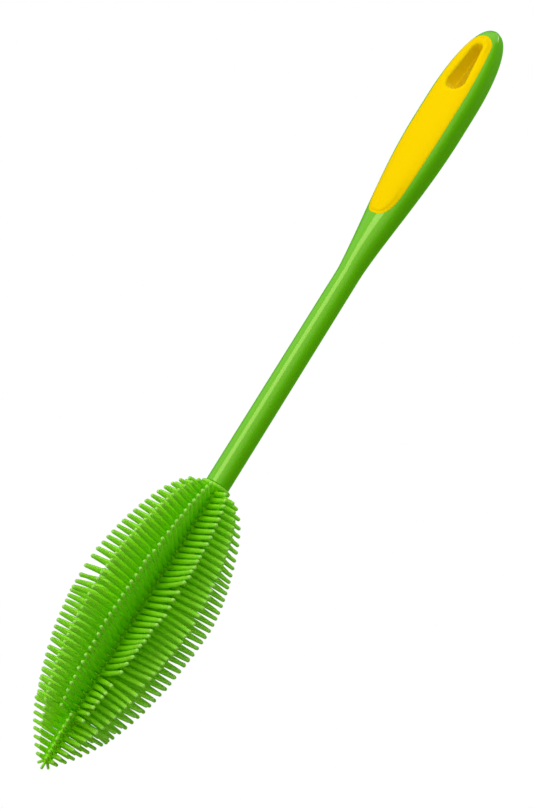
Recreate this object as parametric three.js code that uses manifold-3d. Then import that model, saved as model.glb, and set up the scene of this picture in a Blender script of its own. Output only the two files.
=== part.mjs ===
// Bottle brush: a moulded handle with a soft grip, and a soft bristle head on a stiff core rod.
// Sizes are in millimetres. +Z runs up the shaft and the grip's face looks along -Y. The origin is
// the middle of the hanging hole's round top, where a hook holds the brush.

import * as THREE from "three";
import { mergeVertices } from "three/addons/utils/BufferGeometryUtils.js";
import Module from "manifold-3d";

const wasm = await Module();
wasm.setup();

const { clamp, degToRad, lerp, smoothstep } = THREE.MathUtils;

// Fits
const seatGap = 0.3; // clearance between neighbouring pieces
const weldDistance = 1e-4; // points closer than this are one point
const cutOverrun = 2; // how far a cutting shape stands out of what it cuts

// Shaft
const shaftLength = 100;
const shaftFootRadius = 4.92;
const shaftTopRadius = 4.8;
const shaftFootBevel = 0.4;
const socketDepth = 26; // hole in the shaft's foot that holds the core rod

// Grip body
const gripLength = 118.5; // from the plain shaft to the round end
const gripWidth = 22.6;
const gripDepth = 13.8;
const gripFaceShift = 0.7; // the body's middle lies this far in front of the shaft's axis
const flareLength = 71.5; // from the plain shaft to the full section
const flareLead = 0.78; // below 1 the flare starts more quickly
const endRoundLength = 37; // stretch that rounds off to the end
const endWidthPower = 2.08; // roundness of the end, seen from the front
const endDepthPower = 3; // roundness of the end, seen from the side
const gripFacePower = 3.6; // front of the section: 2 is an ellipse, higher is flatter
const gripBackPower = 2.05;
const shaftSectionPower = 2;

// Soft grip inlay
const inlayFootHeight = 25.8; // its lower end above the start of the flare
const inlayTopMargin = 4.7; // its upper end below the end of the handle
const inlayShare = 0.72; // of the grip body's width
const inlayFootRound = 15; // stretch that rounds off its lower end
const inlayFootPower = 2.7; // 2 is an ellipse, higher is blunter
const inlayTopRound = 4.2; // stretch that rounds off its upper end
const pocketFloor = 4.2; // floor of its pocket, in front of the shaft's axis

// Hanging hole, lined by the soft grip
const holeLength = 23.2;
const holeFootWidth = 9;
const holeFootRadius = 3.6;
const holeTopRadius = 2.1;
const holeMouthBevel = 0.9;
const holeEndWall = 9.5; // from the hole's top edge to the end of the handle
const liningWall = 1.5;

// Brush head
const headLength = 127.5;
const headRadius = 28.75; // to the tips of the longest bristles
const fullestHeight = 77.3; // height of the longest bristles above the head's tip
const tipFullness = 0.85; // below the fullest height: lower is rounder
const shoulderFullness = 0.47; // above the fullest height
const headTurn = 40; // degrees from the grip's face to the head's front valley, towards +X
const sleeveRadius = 3.1;
const sleeveTipRadius = 2.2;
const flangeRadius = 6.3;
const flangeThickness = 1;
const flangeConeHeight = 3.8; // least height of the cone below the flange

// Bristles
const ringPitch = 2.9;
const tipZoneRings = 6; // rings with the fewer rows of the tip
const tipZoneRows = 8;
const mainFootGap = 0.6; // plain sleeve between the tip's rings and the main part
const quadrants = 4;
const rowsPerQuadrant = 3;
const rowSpacing = 27; // degrees between the rows of a quadrant
const valleyRowLean = 6; // degrees that rows beside the front and back valleys lean to the handle
const rootHeight = 1.6;
const rootWidth = 1.1;
const rootMargin = 0.3; // plain sleeve below the lowest roots
const tipThickness = 1.2;

// Crown of strands on the tip
const crownCount = 4;
const crownTilt = 38; // degrees from straight down
const crownLength = 2.4;
const crownThickness = 0.9;
const crownRootShare = 0.8; // of its facet
const crownTipRadius = 0.7;
const crownFootHeight = 2.4;
const crownTopRadius = 1.8;
const crownTopHeight = 3.2;
const crownShoulder = 0.3; // height of the slope from the crown to the sleeve

// Core rod
const rodRadius = 1.4;
const rodBevel = 0.3;
const rodTipHeight = 24; // lower end of the rod above the head's tip

// Facets
const sectionSides = 40;
const flareSteps = 15;
const endSteps = 9;
const inlaySteps = 26;
const holeArcSteps = 7;
const rodSides = 16;

// Heights along the brush
const endZ = holeTopRadius + holeEndWall;
const flareStartZ = endZ - gripLength;
const shaftFootZ = flareStartZ - shaftLength;
const headTopZ = shaftFootZ - seatGap;
const headTipZ = headTopZ - headLength;
const rodFootZ = headTipZ + rodTipHeight;
const rodTopZ = shaftFootZ + socketDepth;
const boreRadius = rodRadius + seatGap;

// Heights in the head, above its tip
const sleeveTipHeight = crownTopHeight + crownShoulder;
const firstRingHeight = sleeveTipHeight + rootMargin + rootHeight / 2;
const mainFootHeight = firstRingHeight + (tipZoneRings - 0.5) * ringPitch + mainFootGap;
const flangeFootHeight = headLength - flangeThickness;
const mainRings = Math.floor((flangeFootHeight - flangeConeHeight - mainFootHeight) / ringPitch);
const mainTopHeight = mainFootHeight + mainRings * ringPitch;

const materials = {
  handle: new THREE.MeshStandardMaterial({ color: 0x5fae0c, roughness: 0.28, metalness: 0 }),
  softGrip: new THREE.MeshStandardMaterial({ color: 0xffd500, roughness: 0.75, metalness: 0 }),
  brushHead: new THREE.MeshStandardMaterial({ color: 0x58aa04, roughness: 0.45, metalness: 0 }),
  coreRod: new THREE.MeshStandardMaterial({ color: 0xb9bdc2, roughness: 0.35, metalness: 1 }),
};

// A closed skin through rings of points, lowest first, each running anticlockwise seen from above.
function loft(rings) {
  const sides = rings[0].length;
  const lastStart = (rings.length - 1) * sides;
  const faces = [];
  for (let start = 0; start < lastStart; start += sides) {
    for (let side = 0; side < sides; side += 1) {
      const here = start + side;
      const next = start + ((side + 1) % sides);
      faces.push(here, next, next + sides);
      faces.push(here, next + sides, here + sides);
    }
  }
  for (let side = 1; side < sides - 1; side += 1) {
    faces.push(0, side + 1, side);
    faces.push(lastStart, lastStart + side, lastStart + side + 1);
  }
  const geometry = new THREE.BufferGeometry().setFromPoints(rings.flat());
  geometry.setIndex(faces);
  return geometry;
}

// A solid for joining and cutting, from a closed geometry.
function solidOf(geometry) {
  const bare = new THREE.BufferGeometry();
  bare.setAttribute("position", geometry.getAttribute("position"));
  bare.setIndex(geometry.getIndex());
  const welded = mergeVertices(bare, weldDistance);
  const corners = welded.getIndex().array;
  const kept = [];
  for (let start = 0; start < corners.length; start += 3) {
    const [a, b, c] = corners.slice(start, start + 3);
    if (a !== b && b !== c && c !== a) {
      kept.push(a, b, c);
    }
  }
  const vertProperties = new Float32Array(welded.getAttribute("position").array);
  const triVerts = new Uint32Array(kept);
  return new wasm.Manifold(new wasm.Mesh({ numProp: 3, vertProperties, triVerts }));
}

function meshOf(name, solid, material) {
  const { vertProperties, triVerts } = solid.getMesh();
  const geometry = new THREE.BufferGeometry();
  geometry.setAttribute("position", new THREE.BufferAttribute(vertProperties, 3));
  geometry.setIndex(new THREE.BufferAttribute(triVerts, 1));
  geometry.computeVertexNormals();
  const mesh = new THREE.Mesh(geometry, material);
  mesh.name = name;
  return mesh;
}

// A solid turned about the shaft's axis, from [radius, z] pairs that run upwards.
function turned(profile, sides, startAngle = 0) {
  const points = profile.map(([radius, z]) => new THREE.Vector2(radius, z));
  const geometry = new THREE.LatheGeometry(points, sides, startAngle);
  return solidOf(geometry.rotateX(Math.PI / 2));
}

function roundBar(radius, footZ, topZ) {
  return turned([[0, footZ], [radius, footZ], [radius, topZ], [0, topZ]], rodSides);
}

// A solid with the outline of a shape seen from the front, between two depths along Y.
function frontPrism(shape, frontY, backY) {
  const options = { depth: backY - frontY, bevelEnabled: false, curveSegments: holeArcSteps };
  const geometry = new THREE.ExtrudeGeometry(shape, options);
  return solidOf(geometry.rotateX(Math.PI / 2).translate(0, backY, 0));
}

// How far the flare has grown at a height, from 0 on the shaft to 1 on the full section.
function flareShare(z) {
  const share = clamp((z - flareStartZ) / flareLength, 0, 1);
  return smoothstep(share ** flareLead, 0, 1);
}

// How much of the full section is left where the end rounds off, from 1 to 0.
function endShare(z, power) {
  const share = clamp((z - endZ + endRoundLength) / endRoundLength, 0, 1);
  return (1 - share ** power) ** (1 / power);
}

function gripSection(z) {
  const flare = flareShare(z);
  return {
    halfWidth: lerp(shaftTopRadius, gripWidth / 2, flare) * endShare(z, endWidthPower),
    halfDepth: lerp(shaftTopRadius, gripDepth / 2, flare) * endShare(z, endDepthPower),
    middleY: -gripFaceShift * flare,
    facePower: lerp(shaftSectionPower, gripFacePower, flare),
    backPower: lerp(shaftSectionPower, gripBackPower, flare),
  };
}

// Depth of the grip body's front or back at a place seen from the front.
function faceY(x, z, side) {
  const { halfWidth, halfDepth, middleY, facePower, backPower } = gripSection(z);
  const power = side < 0 ? facePower : backPower;
  const across = Math.min(Math.abs(x) / halfWidth, 1);
  return middleY + side * halfDepth * (1 - across ** power) ** (1 / power);
}

function sectionRing(z, { halfWidth, halfDepth, middleY, facePower, backPower }) {
  const ring = [];
  for (let side = 0; side < sectionSides; side += 1) {
    const angle = (side / sectionSides) * 2 * Math.PI;
    const across = Math.cos(angle);
    const along = Math.sin(angle);
    const power = along < 0 ? facePower : backPower;
    const x = halfWidth * Math.sign(across) * Math.abs(across) ** (2 / power);
    const y = halfDepth * Math.sign(along) * Math.abs(along) ** (2 / power);
    ring.push(new THREE.Vector3(x, middleY + y, z));
  }
  return ring;
}

function roundSection(radius) {
  const power = shaftSectionPower;
  return { halfWidth: radius, halfDepth: radius, middleY: 0, facePower: power, backPower: power };
}

// The handle's outer form: shaft, flare, grip body and round end in one skin.
function handleForm() {
  const rings = [
    sectionRing(shaftFootZ, roundSection(shaftFootRadius - shaftFootBevel)),
    sectionRing(shaftFootZ + shaftFootBevel, roundSection(shaftFootRadius)),
  ];
  const endStartZ = endZ - endRoundLength;
  for (let step = 0; step < flareSteps; step += 1) {
    const z = lerp(flareStartZ, endStartZ, step / flareSteps);
    rings.push(sectionRing(z, gripSection(z)));
  }
  for (let step = 0; step <= endSteps; step += 1) {
    const turn = (step / endSteps) * (Math.PI / 2);
    const z = endStartZ + endRoundLength * Math.sin(turn) ** (2 / endWidthPower);
    rings.push(sectionRing(z, gripSection(z)));
  }
  return solidOf(loft(rings));
}

// The soft grip's outline seen from the front, drawn in by an inset all round.
function inlayOutline(inset) {
  const footZ = flareStartZ + inlayFootHeight + inset;
  const topZ = endZ - inlayTopMargin - inset;
  const rightSide = [];
  for (let step = 0; step <= inlaySteps; step += 1) {
    const z = lerp(footZ, topZ, (1 - Math.cos((step / inlaySteps) * Math.PI)) / 2);
    const footShare = 1 - Math.min((z - footZ) / inlayFootRound, 1);
    const topShare = 1 - Math.min((topZ - z) / inlayTopRound, 1);
    const footRounding = (1 - footShare ** inlayFootPower) ** (1 / inlayFootPower);
    const topRounding = Math.sqrt(1 - topShare ** 2);
    const fullWidth = gripSection(z).halfWidth * inlayShare - inset;
    const halfWidth = fullWidth * footRounding * topRounding;
    rightSide.push(new THREE.Vector2(halfWidth, z));
  }
  const leftSide = rightSide.slice(1, -1).map(({ x, y }) => new THREE.Vector2(-x, y));
  return new THREE.Shape([...rightSide, ...leftSide.reverse()]);
}

// The hanging hole's outline seen from the front: two foot corners and a round top, joined by
// straight sides, all grown outwards by an offset. It runs anticlockwise.
function holeOutline(offset) {
  const cornerX = holeFootWidth / 2 - holeFootRadius;
  const cornerZ = holeTopRadius - holeLength + holeFootRadius;
  const sideSlant = Math.atan2(cornerX, -cornerZ);
  const sideLength = Math.hypot(cornerX, cornerZ);
  const sideAngle = sideSlant + Math.asin((holeFootRadius - holeTopRadius) / sideLength);
  const arcs = [
    [cornerX, cornerZ, holeFootRadius, -Math.PI / 2, sideAngle],
    [0, 0, holeTopRadius, sideAngle, Math.PI - sideAngle],
    [-cornerX, cornerZ, holeFootRadius, Math.PI - sideAngle, (3 * Math.PI) / 2],
  ];
  const points = [];
  for (const [x, z, radius, from, to] of arcs) {
    for (let step = 0; step <= holeArcSteps; step += 1) {
      const angle = lerp(from, to, step / holeArcSteps);
      const reach = radius + offset;
      points.push(new THREE.Vector2(x + reach * Math.cos(angle), z + reach * Math.sin(angle)));
    }
  }
  return points;
}

// The hole's cutting shape, from the back to the front, with a bevelled mouth on both faces.
function holeCutter() {
  const mouth = holeOutline(holeMouthBevel + cutOverrun);
  const throat = holeOutline(0);
  const ring = (outline, side, depth) =>
    outline.map(({ x, y: z }) => new THREE.Vector3(x, faceY(x, z, side) + side * depth, z));
  return solidOf(loft([
    ring(mouth, 1, cutOverrun),
    ring(throat, 1, -holeMouthBevel),
    ring(throat, -1, -holeMouthBevel),
    ring(mouth, -1, cutOverrun),
  ]));
}

function handle() {
  const frontY = -gripDepth - gripFaceShift;
  const backY = gripDepth;
  const pocket = frontPrism(inlayOutline(0), frontY, -pocketFloor);
  const liningShape = new THREE.Shape(holeOutline(liningWall + seatGap));
  const liningHole = frontPrism(liningShape, frontY, backY);
  const socket = roundBar(boreRadius, shaftFootZ - cutOverrun, rodTopZ + seatGap);
  const solid = handleForm().subtract(pocket).subtract(liningHole).subtract(socket);
  return meshOf("handle", solid, materials.handle);
}

function softGrip() {
  const frontY = -gripDepth - gripFaceShift;
  const backY = gripDepth;
  const pad = frontPrism(inlayOutline(seatGap), frontY, -pocketFloor - seatGap);
  const lining = frontPrism(new THREE.Shape(holeOutline(liningWall)), frontY, backY);
  const solid = handleForm().intersect(pad.add(lining)).subtract(holeCutter());
  return meshOf("soft_grip", solid, materials.softGrip);
}

function coreRod() {
  const profile = [
    [0, rodFootZ],
    [rodRadius - rodBevel, rodFootZ],
    [rodRadius, rodFootZ + rodBevel],
    [rodRadius, rodTopZ - rodBevel],
    [rodRadius - rodBevel, rodTopZ],
    [0, rodTopZ],
  ];
  return meshOf("core_rod", turned(profile, rodSides), materials.coreRod);
}

// Reach of the bristles at a height above the head's tip.
function bristleReach(height) {
  const below = height < fullestHeight;
  const span = below ? fullestHeight : headLength - fullestHeight;
  const share = Math.min(Math.abs(height - fullestHeight) / span, 1);
  return headRadius * (1 - share ** 2) ** (below ? tipFullness : shoulderFullness);
}

// Radius of the sleeve at a height above the head's tip: taper, straight part and cone.
function sleeveReach(height) {
  const taper = clamp((height - sleeveTipHeight) / (mainFootHeight - sleeveTipHeight), 0, 1);
  const cone = clamp((height - mainTopHeight) / (flangeFootHeight - mainTopHeight), 0, 1);
  return lerp(lerp(sleeveTipRadius, sleeveRadius, taper), flangeRadius, cone);
}

// A direction out from the axis, at an angle in degrees from the front valley.
function outward(angle) {
  const turn = degToRad(headTurn + angle);
  return new THREE.Vector3(Math.sin(turn), -Math.cos(turn), 0);
}

function headPoint(angle, radius, height) {
  return outward(angle).multiplyScalar(radius).setZ(headTipZ + height);
}

// The head's skin, gathered as numbered points and the corners of its triangles.
const headSkin = { points: [], corners: [] };

function addPoint(point) {
  headSkin.points.push(point);
  return headSkin.points.length - 1;
}

function addRing(angles, radius, height) {
  return angles.map((angle) => addPoint(headPoint(angle, radius, height)));
}

// A convex face, its points running anticlockwise seen from outside.
function addFace(points) {
  for (let next = 1; next < points.length - 1; next += 1) {
    headSkin.corners.push(points[0], points[next], points[next + 1]);
  }
}

// A wall between two rings with the same number of points.
function joinRings(lower, upper) {
  lower.forEach((left, index) => {
    const right = (index + 1) % lower.length;
    addFace([left, lower[right], upper[right], upper[index]]);
  });
}

// A wall between two rings whose points stand at different angles.
function stitchRings(lower, lowerAngles, upper, upperAngles) {
  const angleAt = (angles, index) =>
    angles[index % angles.length] + 360 * Math.floor(index / angles.length);
  let low = 0;
  let high = 0;
  while (low < lower.length || high < upper.length) {
    const lowPoint = lower[low % lower.length];
    const highPoint = upper[high % upper.length];
    const lowNext = angleAt(lowerAngles, low + 1);
    const highNext = angleAt(upperAngles, high + 1);
    const goLow = high >= upper.length || (low < lower.length && lowNext <= highNext);
    if (goLow) {
      low += 1;
      addFace([lowPoint, lower[low % lower.length], highPoint]);
    } else {
      high += 1;
      addFace([lowPoint, upper[high % upper.length], highPoint]);
    }
  }
}

// A four-sided strand that grows from a root on the skin. The root's points run anticlockwise seen
// from the strand's tip: lower left, lower right, upper right, upper left.
function growStrand(root, tip, axis, thickness) {
  const across = new THREE.Vector3(-axis.y, axis.x, 0).normalize();
  const rise = new THREE.Vector3().crossVectors(axis, across);
  const sides = [[-1, -1], [1, -1], [1, 1], [-1, 1]];
  const end = sides.map(([sideways, upwards]) => addPoint(tip.clone()
    .addScaledVector(across, (sideways * thickness) / 2)
    .addScaledVector(rise, (upwards * thickness) / 2)));
  joinRings(root, end);
  addFace(end);
}

// The root of a strand on the flat facet between two upright edges of a ring.
function addRoot(leftAngle, rightAngle, height) {
  const facetPoint = (sideways, upwards) => {
    const level = height + (upwards * rootHeight) / 2;
    const left = headPoint(leftAngle, sleeveReach(level), level);
    const right = headPoint(rightAngle, sleeveReach(level), level);
    const share = 0.5 + (sideways * rootWidth) / 2 / left.distanceTo(right);
    return addPoint(left.lerp(right, share));
  };
  return [facetPoint(-1, -1), facetPoint(1, -1), facetPoint(1, 1), facetPoint(-1, 1)];
}

function growBristle(root, angle, height, lean) {
  const axis = outward(angle).multiplyScalar(Math.cos(lean)).setZ(Math.sin(lean));
  const reach = bristleReach(height);
  const rise = (reach - sleeveReach(height)) * Math.tan(lean);
  growStrand(root, headPoint(angle, reach, height + rise), axis, tipThickness);
}

// A four-cornered facet round the root of a strand.
function addFacet([lowLeft, lowRight, highRight, highLeft], root) {
  const [footLeft, footRight, headRight, headLeft] = root;
  addFace([lowLeft, lowRight, footRight, footLeft]);
  addFace([lowRight, highRight, headRight, footRight]);
  addFace([highRight, highLeft, headLeft, headRight]);
  addFace([highLeft, lowLeft, footLeft, headLeft]);
}

// A band of facets between two rings, with a bristle in the middle of each.
function addBristleBand(lower, upper, edges, rows, height) {
  rows.forEach(({ angle, lean }, index) => {
    const next = (index + 1) % edges.length;
    const root = addRoot(edges[index], edges[next], height);
    addFacet([lower[index], lower[next], upper[next], upper[index]], root);
    growBristle(root, angle, height, lean);
  });
}

// One upright column of the main part, with its roots on the rings instead of between them.
function addShiftedColumn(rings, index, edges, { angle, lean }, heights) {
  const next = (index + 1) % edges.length;
  const last = rings.length - 1;
  const left = (level) => rings[level][index];
  const right = (level) => rings[level][next];
  let below = [];
  for (let level = 1; level < last; level += 1) {
    const root = addRoot(edges[index], edges[next], heights[level]);
    const [footLeft, footRight, headRight, headLeft] = root;
    addFace([left(level), footLeft, headLeft]);
    addFace([right(level), headRight, footRight]);
    if (level === 1) {
      addFace([left(0), right(0), footRight, footLeft]);
    } else {
      addFace([below[0], below[1], footRight, footLeft]);
    }
    addFace([left(level - 1), ...(level === 1 ? [] : [below[0]]), footLeft, left(level)]);
    addFace([right(level - 1), right(level), footRight, ...(level === 1 ? [] : [below[1]])]);
    growBristle(root, angle, heights[level], lean);
    below = [headLeft, headRight];
  }
  addFace([below[0], below[1], right(last), left(last)]);
  addFace([left(last - 1), below[0], left(last)]);
  addFace([right(last - 1), right(last), below[1]]);
}

// Rows of the main part: some to a quadrant, with a valley between the quadrants, and the sleeve's
// upright edges between the rows. Rows beside the front and back valleys lean to the handle.
function mainRows() {
  const rows = [];
  const edges = [];
  const quadrantAngle = 360 / quadrants;
  for (let quadrant = 0; quadrant < quadrants; quadrant += 1) {
    const firstRow = (quadrant + 0.5) * quadrantAngle - ((rowsPerQuadrant - 1) / 2) * rowSpacing;
    for (let row = 0; row < rowsPerQuadrant; row += 1) {
      const angle = firstRow + row * rowSpacing;
      const towardsFrontOrBack = Math.abs(Math.cos(degToRad(angle)));
      const leans = towardsFrontOrBack > Math.cos(degToRad((quadrantAngle - rowSpacing) / 2));
      rows.push({ angle, lean: leans ? degToRad(valleyRowLean) : 0 });
      edges.push(row === 0 ? quadrant * quadrantAngle : angle - rowSpacing / 2);
    }
  }
  return { rows, edges };
}

function evenRows(count) {
  const rows = [];
  const edges = [];
  for (let row = 0; row < count; row += 1) {
    const angle = (row * 360) / count;
    rows.push({ angle, lean: 0 });
    edges.push(angle - 180 / count);
  }
  return { rows, edges };
}

// The tip's crown: one strand straight down and others slanting out round it.
function addCrown() {
  const { rows, edges } = evenRows(crownCount);
  const endRing = addRing(edges, crownTipRadius, 0);
  const footRing = addRing(edges, crownTipRadius, crownFootHeight);
  const topRing = addRing(edges, crownTopRadius, crownTopHeight);
  addFace([...endRing].reverse());
  joinRings(endRing, footRing);
  const slope = (height) =>
    lerp(crownTipRadius, crownTopRadius, (height - crownFootHeight) / (crownTopHeight - crownFootHeight));
  rows.forEach(({ angle }, index) => {
    const next = (index + 1) % crownCount;
    const middle = (crownFootHeight + crownTopHeight) / 2;
    const corners = [footRing[index], footRing[next], topRing[next], topRing[index]];
    const root = crownRoot(edges[index], slope, middle);
    addFacet(corners, root);
    const tilt = degToRad(crownTilt);
    const axis = outward(angle).multiplyScalar(Math.sin(tilt)).setZ(-Math.cos(tilt));
    const start = headPoint(angle, slope(middle) * Math.cos(Math.PI / crownCount), middle);
    growStrand(root, start.addScaledVector(axis, crownLength), axis, crownThickness);
  });
  return { ring: topRing, edges };
}

// The root of a slanting crown strand, a share of its facet's own size.
function crownRoot(leftAngle, slope, middle) {
  const facetPoint = (sideways, upwards) => {
    const level = middle + (upwards * crownRootShare * (crownTopHeight - crownFootHeight)) / 2;
    const left = headPoint(leftAngle, slope(level), level);
    const right = headPoint(leftAngle + 360 / crownCount, slope(level), level);
    return addPoint(left.lerp(right, 0.5 + (sideways * crownRootShare) / 2));
  };
  return [facetPoint(-1, -1), facetPoint(1, -1), facetPoint(1, 1), facetPoint(-1, 1)];
}

// The tapered tip: rings of fewer rows, one above the other.
function addTipZone() {
  const { rows, edges } = evenRows(tipZoneRows);
  const rings = [addRing(edges, sleeveReach(sleeveTipHeight), sleeveTipHeight)];
  for (let index = 0; index < tipZoneRings; index += 1) {
    const height = firstRingHeight + index * ringPitch;
    const top = height + ringPitch / 2;
    rings.push(addRing(edges, sleeveReach(top), top));
    addBristleBand(rings[index], rings[index + 1], edges, rows, height);
  }
  return { rings, edges };
}

// The main part: every second row is set half a pitch higher than its neighbours, and one more ring
// of bristles stands on the cone below the flange.
function addMainPart() {
  const { rows, edges } = mainRows();
  const heights = [];
  for (let level = 0; level <= mainRings; level += 1) {
    heights.push(mainFootHeight + level * ringPitch);
  }
  const rings = heights.map((height) => addRing(edges, sleeveReach(height), height));
  rows.forEach((row, index) => {
    if (index % 2 === 0) {
      addShiftedColumn(rings, index, edges, row, heights);
      return;
    }
    const next = (index + 1) % edges.length;
    for (let level = 0; level < mainRings; level += 1) {
      const height = heights[level] + ringPitch / 2;
      const root = addRoot(edges[index], edges[next], height);
      const [lower, upper] = [rings[level], rings[level + 1]];
      addFacet([lower[index], lower[next], upper[next], upper[index]], root);
      growBristle(root, row.angle, height, row.lean);
    }
  });
  const coneHeight = mainTopHeight + ringPitch / 2;
  const coneRing = addRing(edges, sleeveReach(mainTopHeight + ringPitch), mainTopHeight + ringPitch);
  addBristleBand(rings[mainRings], coneRing, edges, rows, coneHeight);
  return { foot: rings[0], top: coneRing, edges };
}

// The flange at the top of the head, and the bore that the core rod sits in.
function addFlangeAndBore(coneRing, edges) {
  const rings = [
    coneRing,
    addRing(edges, flangeRadius, flangeFootHeight),
    addRing(edges, flangeRadius, headLength),
    addRing(edges, boreRadius, headLength),
    addRing(edges, boreRadius, rodTipHeight - seatGap),
  ];
  for (let index = 1; index < rings.length; index += 1) {
    joinRings(rings[index - 1], rings[index]);
  }
  addFace(rings[rings.length - 1]);
}

function brushHead() {
  const crown = addCrown();
  const tip = addTipZone();
  stitchRings(crown.ring, crown.edges, tip.rings[0], tip.edges);
  const main = addMainPart();
  stitchRings(tip.rings[tipZoneRings], tip.edges, main.foot, main.edges);
  addFlangeAndBore(main.top, main.edges);
  const geometry = new THREE.BufferGeometry().setFromPoints(headSkin.points);
  geometry.setIndex(headSkin.corners);
  geometry.computeVertexNormals();
  const mesh = new THREE.Mesh(geometry, materials.brushHead);
  mesh.name = "brush_head";
  return mesh;
}

const brush = new THREE.Group();
brush.add(handle(), softGrip(), coreRod(), brushHead());

export default brush;
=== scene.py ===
import math
import random

import bpy
import numpy as np
from mathutils import Matrix, Vector
from mathutils.geometry import delaunay_2d_cdt


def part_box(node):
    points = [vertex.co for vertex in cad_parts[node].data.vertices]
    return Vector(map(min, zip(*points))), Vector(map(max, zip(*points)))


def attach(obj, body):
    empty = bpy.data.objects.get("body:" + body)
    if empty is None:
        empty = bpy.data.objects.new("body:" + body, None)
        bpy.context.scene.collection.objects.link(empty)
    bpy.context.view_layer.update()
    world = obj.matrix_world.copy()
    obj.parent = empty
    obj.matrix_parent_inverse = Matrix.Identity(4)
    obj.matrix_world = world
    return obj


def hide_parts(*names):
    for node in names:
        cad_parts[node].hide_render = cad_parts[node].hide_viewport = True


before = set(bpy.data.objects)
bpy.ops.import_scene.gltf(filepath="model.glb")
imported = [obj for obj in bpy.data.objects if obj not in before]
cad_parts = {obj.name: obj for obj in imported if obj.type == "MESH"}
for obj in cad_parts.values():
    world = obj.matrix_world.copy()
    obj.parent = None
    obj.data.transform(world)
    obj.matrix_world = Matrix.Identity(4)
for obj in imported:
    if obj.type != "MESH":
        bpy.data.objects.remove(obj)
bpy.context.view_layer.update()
mm = 0.001  # the sizes below are in millimetres, the scene is in metres
scene = bpy.context.scene
scene.view_settings.view_transform = "Standard"
print("frame loaded:", ", ".join(sorted(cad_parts)))


# Helpers for meshes

def smoothStep(share):
    share = np.clip(share, 0, 1)
    return share * share * (3 - 2 * share)


def addLoop(points, loop):
    # appends a closed row of points and returns their numbers
    first = len(points)
    points.extend(map(tuple, loop))
    return list(range(first, first + len(loop)))


def bridge(faces, near, far):
    # quads between two closed rows with the same count
    count = len(near)
    for here in range(count):
        after = (here + 1) % count
        faces.append((near[here], near[after], far[after], far[here]))


def fan(faces, loop, middle):
    count = len(loop)
    for here in range(count):
        faces.append((loop[here], loop[(here + 1) % count], middle))


def makePiece(name, points, faces, material, sharpAngle):
    mesh = bpy.data.meshes.new(name)
    mesh.from_pydata([(x * mm, y * mm, z * mm) for x, y, z in points], [], faces)
    mesh.update()
    if material:
        mesh.materials.append(material)
    piece = bpy.data.objects.new(name, mesh)
    scene.collection.objects.link(piece)
    shadeSmooth(mesh, sharpAngle)
    return piece


def shadeSmooth(mesh, sharpAngle):
    mesh.polygons.foreach_set("use_smooth", [True] * len(mesh.polygons))
    mesh.set_sharp_from_angle(angle=math.radians(sharpAngle))


def cutAway(piece, cutter, sharpAngle):
    # takes the cutter's shape out of the piece, and the cutter out of the scene
    modifier = piece.modifiers.new("cut", "BOOLEAN")
    modifier.operation = "DIFFERENCE"
    modifier.solver = "MANIFOLD"
    modifier.object = cutter
    graph = bpy.context.evaluated_depsgraph_get()
    cutMesh = bpy.data.meshes.new_from_object(piece.evaluated_get(graph))
    piece.modifiers.remove(modifier)
    cutMesh.name = piece.data.name
    piece.data = cutMesh
    bpy.data.objects.remove(cutter)
    shadeSmooth(cutMesh, sharpAngle)


def evenLoop(points, count):
    # the same closed outline with evenly spaced points
    closed = np.vstack([points, points[:1]])
    lengths = np.hypot(*np.diff(closed, axis=0).T)
    along = np.concatenate([[0], np.cumsum(lengths)])
    wanted = np.arange(count) / count * along[-1]
    return np.column_stack([np.interp(wanted, along, closed[:, axis]) for axis in (0, 1)])


def grownLoop(loop, offset):
    # an anticlockwise outline moved outwards all round
    ahead = np.roll(loop, -1, axis=0) - np.roll(loop, 1, axis=0)
    outward = np.column_stack([ahead[:, 1], -ahead[:, 0]])
    outward /= np.linalg.norm(outward, axis=1)[:, None]
    return loop + outward * np.asarray(offset).reshape(-1, 1)


def loopDistance(points, loop):
    # distance from each point to the nearest side of an outline
    sides = np.roll(loop, -1, axis=0) - loop
    gaps = points[:, None, :] - loop[None]
    share = np.clip((gaps * sides).sum(2) / (sides * sides).sum(1), 0, 1)
    return np.linalg.norm(gaps - share[..., None] * sides, axis=2).min(1)


def insideLoop(points, loop):
    # even-odd test on each point
    x, z = points[:, :1], points[:, 1:]
    x1, z1 = loop.T
    x2, z2 = np.roll(loop, -1, axis=0).T
    crosses = (z1 > z) != (z2 > z)
    rise = np.where(z2 == z1, 1, z2 - z1)
    hits = crosses & (x < x1 + (z - z1) / rise * (x2 - x1))
    return hits.sum(1) % 2 == 1


# Materials

softDetail, richDetail = 2, 3  # octaves of a noise


def newMaterial(name):
    material = bpy.data.materials.new(name)
    material.use_nodes = True
    nodes = material.node_tree.nodes
    return material, nodes, material.node_tree.links, nodes["Principled BSDF"]


def setShares(piece, name, shares):
    # a share for each point from the first one on, 0 for the rest, read by the piece's material
    attribute = piece.data.attributes.new(name, "FLOAT", "POINT")
    values = np.zeros(len(piece.data.vertices), np.float32)
    values[:len(shares)] = shares
    attribute.data.foreach_set("value", values)


def namedShares(nodes, name):
    node = nodes.new("ShaderNodeAttribute")
    node.attribute_name = name
    return node.outputs["Fac"]


def noiseNode(nodes, links, scale, detail):
    # noise in the object's own space, finer with a higher scale
    place = nodes.new("ShaderNodeTexCoord")
    noise = nodes.new("ShaderNodeTexNoise")
    noise.inputs["Scale"].default_value = scale
    noise.inputs["Detail"].default_value = detail
    links.new(place.outputs["Object"], noise.inputs["Vector"])
    return noise


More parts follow.
